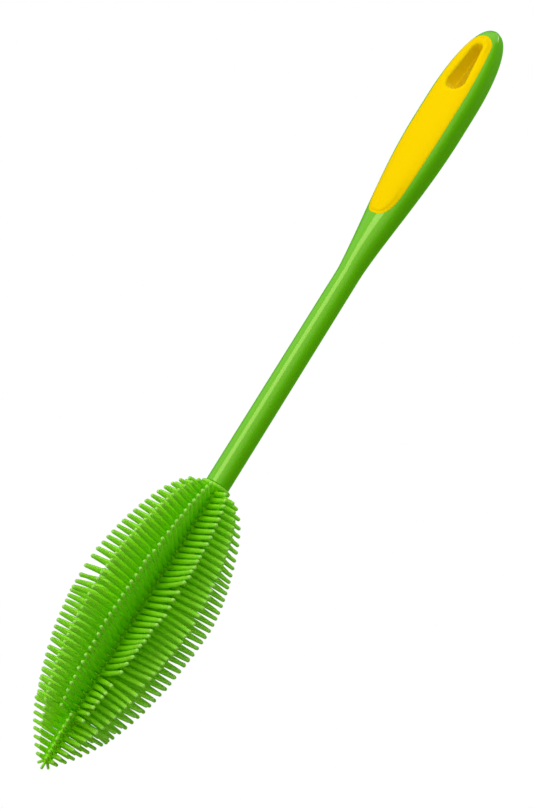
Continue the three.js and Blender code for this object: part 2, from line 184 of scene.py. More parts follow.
def mixedColour(nodes, links, factor, first, second):
    # each of the two is a plain colour or another node's output
    mix = nodes.new("ShaderNodeMix")
    mix.data_type = "RGBA"
    colours = [socket for socket in mix.inputs if socket.type == "RGBA"]
    for socket, value in zip(colours, (first, second)):
        if hasattr(value, "is_output"):
            links.new(value, socket)
        else:
            socket.default_value = (*value, 1)
    links.new(factor, mix.inputs["Factor"])
    return next(socket for socket in mix.outputs if socket.type == "RGBA")


def mappedRange(nodes, links, value, low, high):
    ranged = nodes.new("ShaderNodeMapRange")
    ranged.inputs["To Min"].default_value = low
    ranged.inputs["To Max"].default_value = high
    links.new(value, ranged.inputs["Value"])
    return ranged.outputs["Result"]


def setRoughness(nodes, links, shader, value, look):
    links.new(mappedRange(nodes, links, value, *look["roughness"]), shader.inputs["Roughness"])


def addBump(nodes, links, shader, height, strength, depth):
    bump = nodes.new("ShaderNodeBump")
    bump.inputs["Strength"].default_value = strength
    bump.inputs["Distance"].default_value = depth * mm
    links.new(height, bump.inputs["Height"])
    links.new(bump.outputs["Normal"], shader.inputs["Normal"])


def setShine(shader, look):
    shader.inputs["IOR"].default_value = look["ior"]
    shader.inputs["Specular IOR Level"].default_value = look["shine"]
    shader.inputs["Specular Tint"].default_value = (*look["shineTint"], 1)


plasticLook = {
    "colour": (0.125, 0.53, 0.002),
    "paleColour": (0.132, 0.55, 0.003),
    "roughness": (0.11, 0.14),
    "ior": 1.5,
    "shine": 0.84,      # specular level
    "shineTint": (0.97, 1.0, 0.42),
    "clouding": 55,     # wide, faint flow marks in the moulding
    "grain": 900,       # faint ripples of the mould
    "grainStrength": 0.01,
    "grainDepth": 0.003,
}


def glossyGreenPlastic():
    look = plasticLook
    material, nodes, links, shader = newMaterial("glossyGreenPlastic")
    clouds = noiseNode(nodes, links, look["clouding"], richDetail)
    grain = noiseNode(nodes, links, look["grain"], softDetail)
    colour = mixedColour(nodes, links, clouds.outputs["Fac"], look["colour"], look["paleColour"])
    links.new(colour, shader.inputs["Base Color"])
    setRoughness(nodes, links, shader, grain.outputs["Fac"], look)
    setShine(shader, look)
    addBump(nodes, links, shader, grain.outputs["Fac"], look["grainStrength"], look["grainDepth"])
    return material


gripLook = {
    "colour": (0.96, 0.672, 0.0),
    "deepColour": (0.95, 0.652, 0.0),
    "paintedHoleLight": (0.97, 0.74, 0.0),    # painted light: the thin lining of the hole is painted paler, for light that comes through it
    "roughness": (0.58, 0.68),
    "ior": 1.4,
    "shine": 0.04,
    "shineTint": (1.0, 0.75, 0.15),
    "clouding": 90,
    "grain": 5200,      # the soft, dry touch of the rubber
    "grainStrength": 0.12,
    "grainDepth": 0.03,
}


def softYellowRubber():
    look = gripLook
    material, nodes, links, shader = newMaterial("softYellowRubber")
    clouds = noiseNode(nodes, links, look["clouding"], richDetail)
    grain = noiseNode(nodes, links, look["grain"], richDetail)
    colour = mixedColour(nodes, links, clouds.outputs["Fac"], look["colour"], look["deepColour"])
    # the hole's lining is painted paler, as painted light
    colour = mixedColour(nodes, links, namedShares(nodes, "holeLightShare"), colour, look["paintedHoleLight"])
    links.new(colour, shader.inputs["Base Color"])
    setRoughness(nodes, links, shader, grain.outputs["Fac"], look)
    setShine(shader, look)
    addBump(nodes, links, shader, grain.outputs["Fac"], look["grainStrength"], look["grainDepth"])
    return material


bristleLook = {
    # colours by the share of a bristle's length, with painted light: its body, its free end painted
    # darker with a paler sheen, and its round tip painted pale as a highlight
    "colours": (
        (0.35, (0.3, 0.82, 0.001)),
        (0.8, (0.3, 0.765, 0.025)),
        (0.95, (0.3, 0.76, 0.04)),
        (0.985, (0.35, 0.77, 0.095)),
    ),
    "roughness": (0.55, 0.2),   # of its root and its tip
    "ior": 1.43,
    "shine": 0.5,
    "shineTint": (0.5, 1.0, 0.3),
    "clouding": 160,
    "mottle": 0.03,     # how much the clouds add to that share
    "grain": 900,
    "grainStrength": 0.02,
    "grainDepth": 0.004,
}


def bristleGreenRubber():
    look = bristleLook
    material, nodes, links, shader = newMaterial("bristleGreenRubber")
    clouds = noiseNode(nodes, links, look["clouding"], softDetail)
    grain = noiseNode(nodes, links, look["grain"], softDetail)
    paler = nodes.new("ShaderNodeMath")
    paler.operation = "MULTIPLY_ADD"
    paler.inputs[1].default_value = look["mottle"]
    links.new(clouds.outputs["Fac"], paler.inputs[0])
    links.new(namedShares(nodes, "alongBristle"), paler.inputs[2])
    # the ramp paints shade and sheen on each bristle's free end and a highlight on its tip
    ramp = nodes.new("ShaderNodeValToRGB")
    stops = ramp.color_ramp.elements
    while len(stops) < len(look["colours"]):
        stops.new(1)
    for stop, (share, colour) in zip(stops, look["colours"]):
        stop.position, stop.color = share, (*colour, 1)
    links.new(paler.outputs["Value"], ramp.inputs["Fac"])
    links.new(ramp.outputs["Color"], shader.inputs["Base Color"])
    setRoughness(nodes, links, shader, paler.outputs["Value"], look)
    setShine(shader, look)
    addBump(nodes, links, shader, grain.outputs["Fac"], look["grainStrength"], look["grainDepth"])
    return material


rodLook = {
    "colour": (0.46, 0.47, 0.49),
    "paleColour": (0.56, 0.57, 0.58),
    "roughness": (0.28, 0.42),
    "streaks": 900,
    "streakStrength": 0.1,
    "streakDepth": 0.01,
}


def drawnSteel():
    look = rodLook
    material, nodes, links, shader = newMaterial("drawnSteel")
    streaks = noiseNode(nodes, links, look["streaks"], softDetail)
    colour = mixedColour(nodes, links, streaks.outputs["Fac"], look["colour"], look["paleColour"])
    links.new(colour, shader.inputs["Base Color"])
    setRoughness(nodes, links, shader, streaks.outputs["Fac"], look)
    shader.inputs["Metallic"].default_value = 1
    addBump(nodes, links, shader, streaks.outputs["Fac"], look["streakStrength"], look["streakDepth"])
    return material


# Handle: the shaft, its flare and the flattened grip body in one moulding

handleShape = {
    "shaftLength": 100,
    "shaftFootRadius": 4.99,
    "shaftTopRadius": 4.87,
    "footRound": 0.5,
    "gripLength": 118.5,
    "gripWidth": 22.6,
    "faceDepth": 7.35,      # from the body's middle to its face
    "backDepth": 7,
    "faceShift": 0.7,       # the grip body leans this far to its face
    "flareLength": 71.5,
    "flareLead": 0.78,
    "faceLead": 0.5,        # the face rises sooner than the sides
    "endRoundLength": 37,
    "endWidthPower": 2.08,
    "endDepthPower": 3,
    "shaftPower": 2,        # a round section
    "facePower": 3,         # a flatter face with round sides
    "backPower": 2.3,
    "sides": 160,
    "footRings": 5,
    "shaftRings": 24,
    "flareRings": 150,
    "endRings": 70,
    "sharpAngle": 35,
}
handleLow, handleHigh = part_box("handle")
endZ = handleHigh.z / mm
footZ = handleLow.z / mm
flareZ = endZ - handleShape["gripLength"]


def gripSection(z):
    # at a height: half width, depths to face and back, the middle's shift and the powers of both halves
    shape = handleShape
    climb = np.clip((z - flareZ) / shape["flareLength"], 0, 1)
    flare = smoothStep(climb ** shape["flareLead"])
    faceRise = smoothStep(climb ** shape["faceLead"])
    down = np.clip((flareZ - z) / shape["shaftLength"], 0, 1)
    shaft = shape["shaftTopRadius"] + (shape["shaftFootRadius"] - shape["shaftTopRadius"]) * down
    closing = np.clip((z - endZ) / shape["endRoundLength"] + 1, 0, 1)
    widthLeft = (1 - closing ** shape["endWidthPower"]) ** (1 / shape["endWidthPower"])
    depthLeft = (1 - closing ** shape["endDepthPower"]) ** (1 / shape["endDepthPower"])
    halfWidth = (shaft + (shape["gripWidth"] / 2 - shaft) * flare) * widthLeft
    faceDepth = (shaft + (shape["faceDepth"] - shaft) * faceRise) * depthLeft
    backDepth = (shaft + (shape["backDepth"] - shaft) * flare) * depthLeft
    facePower = shape["shaftPower"] + (shape["facePower"] - shape["shaftPower"]) * flare ** 2
    backPower = shape["shaftPower"] + (shape["backPower"] - shape["shaftPower"]) * flare
    return halfWidth, faceDepth, backDepth, -shape["faceShift"] * faceRise, facePower, backPower


def faceY(x, z, side):
    # depth of the grip body's face, side -1 in front and 1 behind
    halfWidth, faceDepth, backDepth, middleY, facePower, backPower = gripSection(z)
    depth, power = (faceDepth, facePower) if side < 0 else (backDepth, backPower)
    across = np.minimum(np.abs(x) / halfWidth, 1)
    return middleY + side * depth * (1 - across ** power) ** (1 / power)


def sectionLoop(z, inset=0):
    # a superellipse that is flatter in front than behind
    halfWidth, faceDepth, backDepth, middleY, facePower, backPower = gripSection(z)
    turn = np.arange(handleShape["sides"]) / handleShape["sides"] * 2 * np.pi
    across, backwards = np.cos(turn), np.sin(turn)
    power = np.where(backwards < 0, facePower, backPower)
    depth = np.where(backwards < 0, faceDepth, backDepth)
    wide = np.abs(across / (halfWidth - inset)) ** power
    deep = np.abs(backwards / (depth - inset)) ** power
    reach = (wide + deep) ** (-1 / power)
    return np.column_stack([reach * across, middleY + reach * backwards, np.full(len(turn), z)])


def handleSkin():
    # rings from the shaft's foot to the round end, closer together in the flare and the end
    shape = handleShape
    points, faces, loops = [], [], []
    for step in range(shape["footRings"]):
        turn = step / shape["footRings"] * math.pi / 2
        height = footZ + shape["footRound"] * (1 - math.cos(turn))
        loops.append(sectionLoop(height, shape["footRound"] * (1 - math.sin(turn))))
    bodyStart = footZ + shape["footRound"]
    endStart = endZ - shape["endRoundLength"]
    for z in np.linspace(bodyStart, flareZ, shape["shaftRings"], endpoint=False):
        loops.append(sectionLoop(z))
    for z in np.linspace(flareZ, endStart, shape["flareRings"], endpoint=False):
        loops.append(sectionLoop(z))
    for step in range(shape["endRings"]):
        turn = step / shape["endRings"] * math.pi / 2
        rise = math.sin(turn) ** (2 / shape["endWidthPower"])
        loops.append(sectionLoop(endStart + shape["endRoundLength"] * rise))
    rows = [addLoop(points, loop) for loop in loops]
    for below, above in zip(rows, rows[1:]):
        bridge(faces, below, above)
    points.append((0, 0, footZ))
    fan(faces, rows[0][::-1], len(points) - 1)
    points.append((0, -shape["faceShift"], endZ))
    fan(faces, rows[-1], len(points) - 1)
    return points, faces


# Soft grip: a pad let into the grip's face, and the hanging hole that it lines

gripShape = {
    "footHeight": 25.8,     # lower end above the start of the flare
    "topMargin": 4.7,       # upper end below the end of the handle
    "widthShare": 0.77,     # of the grip body's width
    "footRound": 15,
    "footPower": 3.1,       # blunter than an ellipse
    "topRound": 4.2,
    "pocketFloor": 4.2,
    "seam": 0.03,           # fine gap to the green all round
    "edgeLift": 0.1,        # the pad's edge is level with the green, and it stands this proud
    "edgeReach": 0.5,       # this far inside
    "padLift": 0.42,        # the pad swells this much inside its soft shoulder
    "shoulderStart": 0.75,
    "shoulderEnd": 1.55,    # at the lower end, and much wider along the sides
    "sideShoulder": 3,
    "sideStart": 3,         # above the lower end, where the swell starts to fade
    "sideFull": 30,
    "topStart": 15,         # below the upper end, where the swell comes back
    "topFull": 5,
    "outlineSteps": 400,
    "edgePoints": 330,
    "edgeSteps": (0.07, 0.16, 0.28, 0.45, 0.7, 0.95, 1.2, 1.5, 1.9, 2.3),
    "gridStep": 0.75,
    "mergeDistance": 1e-7,
    "cutterReach": 4,       # cutters stand out by this many depths of the grip body
    "sharpAngle": 48,
}
holeShape = {
    "length": 22.8,
    "footWidth": 9,
    "footRadius": 4.3,
    "topRadius": 2.5,
    "liningWall": 1.5,
    "mouthRound": 1.2,      # depth of the soft mouth
    "mouthSpread": 2.1,     # and how far it spreads over the face
    "backRound": 0.7,
    "roundSteps": 6,
    "wallShares": (0.12, 0.25, 0.37, 0.46, 0.485, 0.5, 0.515, 0.54, 0.63, 0.75, 0.88),
    "partingShare": 0.5,    # of the depth, where the two cores of the mould meet
    "partingRidge": 0.5,    # and the hole is narrower by this much on each side
    "partingBead": 0.16,    # fine flash along that line
    "beadReach": 0.03,
    "arcSteps": 60,
    "points": 132,
    "rimSteps": (0.2, 0.45, 0.8, 1.25, 1.7),
}


def padOutline():
    # follows the grip body's width between a blunt lower end and a round upper one
    shape = gripShape
    lowZ = flareZ + shape["footHeight"]
    highZ = endZ - shape["topMargin"]
    z = lowZ + (highZ - lowZ) * (1 - np.cos(np.linspace(0, np.pi, shape["outlineSteps"]))) / 2
    atFoot = 1 - np.minimum((z - lowZ) / shape["footRound"], 1)
    atTop = 1 - np.minimum((highZ - z) / shape["topRound"], 1)
    rounding = np.maximum(1 - atFoot ** shape["footPower"], 0) ** (1 / shape["footPower"])
    rounding *= np.sqrt(np.maximum(1 - atTop ** 2, 0))
    halfWidth = gripSection(z)[0] * shape["widthShare"] * rounding
    right = np.column_stack([halfWidth, z])
    left = np.column_stack([-halfWidth, z])[-2:0:-1]
    return evenLoop(np.vstack([right, left]), shape["edgePoints"])


def holeOutline():
    # a wide foot with two round corners, straight sides and a narrow round top
    shape = holeShape
    cornerX = shape["footWidth"] / 2 - shape["footRadius"]
    cornerZ = shape["topRadius"] - shape["length"] + shape["footRadius"]
    slant = math.atan2(cornerX, -cornerZ)
    narrowing = (shape["footRadius"] - shape["topRadius"]) / math.hypot(cornerX, cornerZ)
    sideAngle = slant + math.asin(narrowing)
    arcs = [
        (cornerX, cornerZ, shape["footRadius"], -math.pi / 2, sideAngle),
        (0, 0, shape["topRadius"], sideAngle, math.pi - sideAngle),
        (-cornerX, cornerZ, shape["footRadius"], math.pi - sideAngle, 1.5 * math.pi),
    ]
    points = []
    for x, z, radius, start, end in arcs:
        turn = np.linspace(start, end, shape["arcSteps"])
        points.append(np.column_stack([x + radius * np.cos(turn), z + radius * np.sin(turn)]))
    return evenLoop(np.vstack(points), shape["points"])


def padFrontY(place, padLoop):
    # the pad's face: it rises from its edge, and swells at both ends behind a soft shoulder
    shape = gripShape
    inside = loopDistance(place, padLoop)
    edge = np.clip(1 - inside / shape["edgeReach"], 0, 1) ** 2
    climb = place[:, 1] - padLoop[:, 1].min()
    faded = smoothStep((climb - shape["sideStart"]) / (shape["sideFull"] - shape["sideStart"]))
    drop = padLoop[:, 1].max() - place[:, 1]
    faded *= smoothStep((drop - shape["topFull"]) / (shape["topStart"] - shape["topFull"]))
    width = shape["shoulderEnd"] - shape["shoulderStart"] + shape["sideShoulder"] * faded
    swell = smoothStep((inside - shape["shoulderStart"]) / width)
    face = faceY(place[:, 0], place[:, 1], -1)
    return face - shape["edgeLift"] * (1 - edge) - shape["padLift"] * swell * (1 - faded)


def meshBetween(outer, inner, extra):
    # triangles between an outline and a hole, through extra points
    places = np.vstack([outer, inner, extra])
    count, holeCount = len(outer), len(inner)
    sides = [(here, (here + 1) % count) for here in range(count)]
    sides += [(count + here, count + (here + 1) % holeCount) for here in range(holeCount)]
    wholeHull = 0  # also the triangles in the hole and outside the outline, which are left out below
    made = delaunay_2d_cdt([Vector(place) for place in places], sides, [], wholeHull,
                           gripShape["mergeDistance"])
    madePlaces, triangles, sources = made[0], made[2], made[3]
    number = [source[0] for source in sources]
    corners = np.array([[madePlaces[corner] for corner in triangle] for triangle in triangles])
    middles = corners.mean(axis=1)
    kept = insideLoop(middles, outer) & ~insideLoop(middles, inner)
    return [tuple(number[corner] for corner in triangle)
            for triangle, keep in zip(triangles, kept) if keep]


def withDepth(loop, y):
    return np.column_stack([loop[:, 0], np.broadcast_to(y, len(loop)), loop[:, 1]])


def padPlaces(padLoop, mouthLoop):
    # places on the pad's face: in close rings at both edges, and an even grid between them
    shape, hole = gripShape, holeShape
    rings = [grownLoop(padLoop, -inset) for inset in shape["edgeSteps"]]
    rims = [grownLoop(mouthLoop, step) for step in hole["rimSteps"]]
    low, high = padLoop.min(0), padLoop.max(0)
    columns = np.arange(low[0], high[0], shape["gridStep"])
    levels = np.arange(low[1], high[1], shape["gridStep"])
    grid = np.array([(x, z) for x in columns for z in levels])
    roomy = insideLoop(grid, padLoop) & ~insideLoop(grid, mouthLoop)
    roomy &= loopDistance(grid, padLoop) > shape["edgeSteps"][-1] + shape["gridStep"] / 2
    roomy &= loopDistance(grid, mouthLoop) > hole["rimSteps"][-1] + shape["gridStep"] / 2
    return np.vstack(rings + rims + [grid[roomy]])


def holeWall(points, holeLoop, mouthRow, mouthY):
    # rows down the front mouth, through the hole and round the back mouth
    hole = holeShape
    rows = [mouthRow]
    for step in range(1, hole["roundSteps"] + 1):
        turn = step / hole["roundSteps"] * math.pi / 2
        loop = grownLoop(holeLoop, hole["mouthSpread"] * (1 - math.sin(turn)))
        depth = mouthY + hole["mouthRound"] * (1 - math.cos(turn))
        rows.append(addLoop(points, withDepth(loop, depth)))
    backLoop = grownLoop(holeLoop, hole["backRound"])
    backY = faceY(backLoop[:, 0], backLoop[:, 1], 1)
    throatFront = mouthY + hole["mouthRound"]
    throatBack = backY - hole["backRound"]
    for share in hole["wallShares"]:
        fromParting = abs(share - hole["partingShare"])
        narrow = hole["partingRidge"] * (1 - fromParting / hole["partingShare"])
        narrow += hole["partingBead"] * max(1 - fromParting / hole["beadReach"], 0)
        depth = throatFront + (throatBack - throatFront) * share
        rows.append(addLoop(points, withDepth(grownLoop(holeLoop, -narrow), depth)))
    for step in range(hole["roundSteps"] + 1):
        turn = step / hole["roundSteps"] * math.pi / 2
        loop = grownLoop(holeLoop, hole["backRound"] * (1 - math.cos(turn)))
        depth = throatBack + hole["backRound"] * math.sin(turn)
        rows.append(addLoop(points, withDepth(loop, depth)))
    return rows


def softGripSkin(padLoop, holeLoop):
    # points and faces of the pad and its lining, and how far each point is in the hole
    shape, hole = gripShape, holeShape
    points, faces = [], []
    mouthLoop = grownLoop(holeLoop, hole["mouthSpread"])
    extra = padPlaces(padLoop, mouthLoop)
    frontPlaces = np.vstack([padLoop, mouthLoop, extra])
    frontY = padFrontY(frontPlaces, padLoop)
    front = addLoop(points, withDepth(frontPlaces, frontY))
    faces.extend(meshBetween(padLoop, mouthLoop, extra))
    edgeRow = front[:len(padLoop)]
    mouthRow = front[len(padLoop):len(padLoop) + len(mouthLoop)]
    mouthY = frontY[len(padLoop):len(padLoop) + len(mouthLoop)]
    rows = holeWall(points, holeLoop, mouthRow, mouthY)
    # shares into the hole, for the painted light on its lining
    holeLightShare = np.zeros(len(points), np.float32)
    for step, row in enumerate(rows):
        holeLightShare[row] = min(step / hole["roundSteps"], 1)
    liningLoop = grownLoop(holeLoop, hole["liningWall"])
    floorY = -shape["pocketFloor"] - shape["seam"]
    backFace = faceY(liningLoop[:, 0], liningLoop[:, 1], 1)
    rows.append(addLoop(points, withDepth(liningLoop, backFace)))
    floorEdge = addLoop(points, withDepth(padLoop, floorY))
    liningRow = addLoop(points, withDepth(liningLoop, floorY))
    rows.append(liningRow)
    for near, far in zip(rows, rows[1:]):
        bridge(faces, near, far)
    bridge(faces, floorEdge, edgeRow)
    floorNumbers = floorEdge + liningRow
    for triangle in meshBetween(padLoop, liningLoop, np.empty((0, 2))):
        faces.append(tuple(floorNumbers[corner] for corner in reversed(triangle)))
    return points, faces, holeLightShare


def prism(name, loop, frontY, backY):
    # a straight cutter through the grip body
    points, faces = [], []
    front = addLoop(points, withDepth(loop, frontY))
    back = addLoop(points, withDepth(loop, backY))
    bridge(faces, back, front)
    faces.append(tuple(front))
    faces.append(tuple(reversed(back)))
    return makePiece(name, points, faces, None, handleShape["sharpAngle"])


def makeHandle(material, padLoop, holeLoop):
    shape = gripShape
    handle = makePiece("handle_moulding", *handleSkin(), material, handleShape["sharpAngle"])
    farFront = -shape["cutterReach"] * handleShape["faceDepth"]
    farBack = shape["cutterReach"] * handleShape["backDepth"]
    pocket = prism("pocket", grownLoop(padLoop, shape["seam"]), farFront, -shape["pocketFloor"])
    cutAway(handle, pocket, handleShape["sharpAngle"])
    liningRoom = grownLoop(holeLoop, holeShape["liningWall"] + shape["seam"])
    cutAway(handle, prism("liningRoom", liningRoom, farFront, farBack), handleShape["sharpAngle"])
    return handle


# Brush head: a sleeve with a flange, and rows of tapered bristles

headShape = {
    "radius": 28.75,
    "fullestHeight": 77.3,
    "tipFullness": 0.74,
    "shoulderFullness": 0.35,
    "tipPower": 2,
    "shoulderPower": 1.3,   # fuller than a cone, up to a blunt shoulder
    "turn": 40,             # degrees from the grip's face to the front valley
    "sleeveRadius": 3.1,
    "sleeveTipRadius": 1.9,
    "sleeveTipHeight": 2.3,
    "taperTop": 21,
    "coneFoot": 118.5,
    "flangeRadius": 6.3,
    "flangeShadeAndSheen": 0.85,    # the flange takes the bristles' colour near their ends, with its painted shade and sheen
    "flangeThickness": 1.3,
    "rimRound": 0.45,
    "boreRadius": 1.7,
    "boreDepth": 4,
    "arcSteps": 8,          # of the tip's dome and of the cone
    "rimSteps": 5,
    "sides": 72,
    "sharpAngle": 60,
}
bristleShape = {
    "tipFoot": 3.65,        # height of the first ring in the tip
    "tipPitch": 2.56,
    "tipRings": 8,
    "tipRows": 8,
    "mainFoot": 22.3,       # height where the main rows start
    "pitch": 2.83,
    "topClearance": 2.6,    # from the last ring to the head's top
    "valleys": (0, 90, 180, 270),   # angles between the four groups of rows
    "rowAngles": (18, 45, 72),      # from the valley before each group
    "rootRadius": 1.22,
    "tipRadius": 0.76,
    "slimming": ((4, 0.78), (30, 1)),   # heights above the tip, with the share of both radii
    "rootFlare": 0.05,
    "flareReach": 0.7,
    "rootDepth": 0.5,       # how far a root stands in the sleeve
    "twist": 0.095,         # degrees that the rows turn on each millimetre of the head
    "untwisted": 66,        # height where they stand at their own angle
    "bendShare": 0.6,       # of a lean, the rest is straight
    # by row: heights above the tip, each with its degrees of lean to the handle
    "leans": {
        18: ((22, -2), (28, 0.5), (33, -2), (36, -6), (39, -4.5), (42, 6), (45, 8.5), (48, 10), (54, 7),
             (60, 3), (66, 2.5), (71, 0.7), (77, 3), (80, 5), (83, 10), (86, 7), (91, 5.5), (97, 2.5),
             (108, 4), (117, 4.5), (125, 4)),
        45: ((22, -6), (30, -5), (36, -4.5), (40, -7), (43, -4), (46, 1), (50, 1), (55, -1.5), (60, -3),
             (70, -3.5), (75, -5), (78, -2), (83, 0), (87, -2), (93, -4.5), (100, -3), (125, -2.5)),
        72: ((22, 0), (30, 2), (45, 2.5), (60, 3), (75, 2), (82, 1), (90, 0), (95, -2), (100, -5),
             (125, -5)),
        288: ((22, 2), (42, 1), (50, -1), (58, -2), (62, -4), (65, -6), (68, -9), (72, -10), (75, -8),
              (77, -5), (80, -2), (86, -1), (125, -1)),
        315: ((22, -2), (45, -4), (60, -4), (70, -2), (80, 0), (100, 1), (125, 2)),
        342: ((22, 2), (50, 3), (70, 3.5), (85, 5), (100, 7), (125, 8)),
    },
    "sameLean": {108: 72, 252: 288},    # rows that lie behind others in the fringe lean as they do
    # and by these degrees more, by height, so that both show in step
    "stepLeans": ((22, -5), (45, -3), (65, -1.7), (85, -0.9), (105, -1.2), (125, -3)),
    "rowStray": 0.8,        # slow random lean along other rows, in degrees
    "rowStrayStep": 11,
    "straySide": 0.4,       # random swing of each bristle
    "strayLean": 0.3,
    "crownTilt": 40,        # of the outer crown bristles, from straight down
    "crownLength": 3.9,
    "crownMiddleLength": 4.35,
    "crownRadius": 0.55,
    "crownHeight": 3.6,
    "sides": 12,
    "steps": 8,
    "capSteps": 3,
    "seed": 11,
}
headLow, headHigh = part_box("brush_head")
tipZ = headLow.z / mm
headLength = headHigh.z / mm - tipZ


def bristleReach(height):
    # radius of the head's outline
    shape = headShape
    below = height < shape["fullestHeight"]
    span = shape["fullestHeight"] if below else headLength - shape["fullestHeight"]
    share = min(abs(height - shape["fullestHeight"]) / span, 1)
    end = "tip" if below else "shoulder"
    return shape["radius"] * (1 - share ** shape[end + "Power"]) ** shape[end + "Fullness"]


def sleeveWall():
    # radius and height of the sleeve, from its tip to the cone's top under the flange
    shape = headShape
    tipRadius, tipHeight = shape["sleeveTipRadius"], shape["sleeveTipHeight"]
    turn = np.linspace(0, np.pi / 2, shape["arcSteps"])
    wall = [(tipRadius * math.sin(a), tipHeight + tipRadius * (1 - math.cos(a))) for a in turn[1:]]
    wall.append((shape["sleeveRadius"], shape["taperTop"]))
    coneRise = headLength - shape["flangeThickness"] - shape["coneFoot"]
    coneReach = shape["flangeRadius"] - shape["rimRound"] - shape["sleeveRadius"]
    for a in turn:
        wall.append((shape["sleeveRadius"] + coneReach * (1 - math.cos(a)),
                     shape["coneFoot"] + coneRise * math.sin(a)))
    return wall


def flangeProfile():
    # goes on round the flange's rim and down into the bore
    shape = headShape
    rimRound = shape["rimRound"]
    middle = shape["flangeRadius"] - rimRound
    foot = headLength - shape["flangeThickness"]
    turn = np.linspace(0, np.pi / 2, shape["rimSteps"])
    profile = [(middle + rimRound * math.sin(a), foot + rimRound * (1 - math.cos(a))) for a in turn[1:]]
    profile += [(middle + rimRound * math.cos(a), headLength - rimRound + rimRound * math.sin(a))
                for a in turn]
    profile.append((shape["boreRadius"], headLength))
    profile.append((shape["boreRadius"], headLength - shape["boreDepth"]))
    return profile


def sleeveRadiusAt(height):
    radii, heights = zip(*sleeveWall())
    return float(np.interp(height, heights, radii))


def addSleeve(points, faces):
    turn = np.arange(headShape["sides"]) / headShape["sides"] * 2 * np.pi
    rows = []
    for radius, height in sleeveWall() + flangeProfile():
        level = np.full(len(turn), tipZ + height)
        loop = np.column_stack([radius * np.cos(turn), radius * np.sin(turn), level])
        rows.append(addLoop(points, loop))
    for below, above in zip(rows, rows[1:]):
        bridge(faces, below, above)
    points.append((0, 0, tipZ + headShape["sleeveTipHeight"]))
    fan(faces, rows[0][::-1], len(points) - 1)
    points.append((0, 0, tipZ + headLength - headShape["boreDepth"]))
    fan(faces, rows[-1], len(points) - 1)


def addBristle(points, faces, along, start, axis, rise, length, curl, rootRadius, tipRadius):
    # a tapered pin with a round end that curls towards rise, and the share of its length at each point
    shape = bristleShape
    side = axis.cross(rise)
    turn = np.arange(shape["sides"]) / shape["sides"] * 2 * np.pi
    rows = []
    straight = length - tipRadius
    stations = [(step / shape["steps"] * straight, None) for step in range(shape["steps"] + 1)]
    for step in range(1, shape["capSteps"] + 1):
        stations.append((straight, step / (shape["capSteps"] + 1) * math.pi / 2))
    for distance, capTurn in stations:
        share = distance / length
        radius = rootRadius + (tipRadius - rootRadius) * share
        free = max(distance - shape["rootDepth"], 0)
        radius += shape["rootFlare"] * math.exp(-free / shape["flareReach"])
        reach = distance
        if capTurn is not None:
            reach = straight + tipRadius * math.sin(capTurn)
            radius = radius * math.cos(capTurn)
        middle = start + axis * reach + rise * (curl * reach * reach / length)
        lean = 2 * curl * reach / length
        up = (rise - axis * lean).normalized()
        loop = [middle + side * (radius * math.cos(a)) + up * (radius * math.sin(a)) for a in turn]
        rows.append(addLoop(points, loop))
        along.extend([min(reach / length, 1)] * len(loop))
    for below, above in zip(rows, rows[1:]):
        bridge(faces, below, above)
    points.append(tuple(start + axis * length + rise * (curl * length)))
    along.append(1)
    fan(faces, rows[-1], len(points) - 1)


def outwardAt(angle):
    # level direction on the head, by degrees from its front valley
    turn = math.radians(headShape["turn"] + angle)
    return Vector((math.sin(turn), -math.cos(turn), 0))


def rowLeans(angle, draw):
    # heights on a row with the lean there: measured, or a slow random wave
    shape = bristleShape
    known = shape["leans"].get(shape["sameLean"].get(angle, angle))
    if known:
        return known
    heights = np.arange(0, headLength + shape["rowStrayStep"], shape["rowStrayStep"])
    return [(height, draw.gauss(0, shape["rowStray"])) for height in heights]


def bristleRows(draw):
    # every bristle as its angle, its height and its lean
    shape = bristleShape
    for row in range(shape["tipRows"]):
        angle = row * 360 / shape["tipRows"]
        for ring in range(shape["tipRings"]):
            yield angle, shape["tipFoot"] + ring * shape["tipPitch"], 0
    lastHeight = headLength - shape["topClearance"]
    for angle in [valley + turn for valley in shape["valleys"] for turn in shape["rowAngles"]]:
        leanHeights, leans = zip(*rowLeans(angle, draw))
        behind = angle in shape["sameLean"]
        height = shape["mainFoot"]
        while height <= lastHeight:
            lean = np.interp(height - behind * shape["pitch"], leanHeights, leans)
            yield angle, height, lean + behind * np.interp(height, *zip(*shape["stepLeans"]))
            height += shape["pitch"]


def addCrown(points, faces, along):
    # a small star of bristles on the tip, one of them straight down, and their count
    shape = bristleShape
    up = Vector((0, 0, 1))
    start = up * (tipZ + shape["crownHeight"])
    radius = shape["crownRadius"]
    tilt = math.radians(shape["crownTilt"])
    for angle in shape["valleys"]:
        outward = outwardAt(angle)
        axis = outward * math.sin(tilt) - up * math.cos(tilt)
        rise = up * math.sin(tilt) + outward * math.cos(tilt)
        addBristle(points, faces, along, start, axis, rise, shape["crownLength"], 0, radius, radius)
    addBristle(points, faces, along, start, -up, outwardAt(0), shape["crownMiddleLength"], 0,
               radius, radius)
    return len(shape["valleys"]) + 1


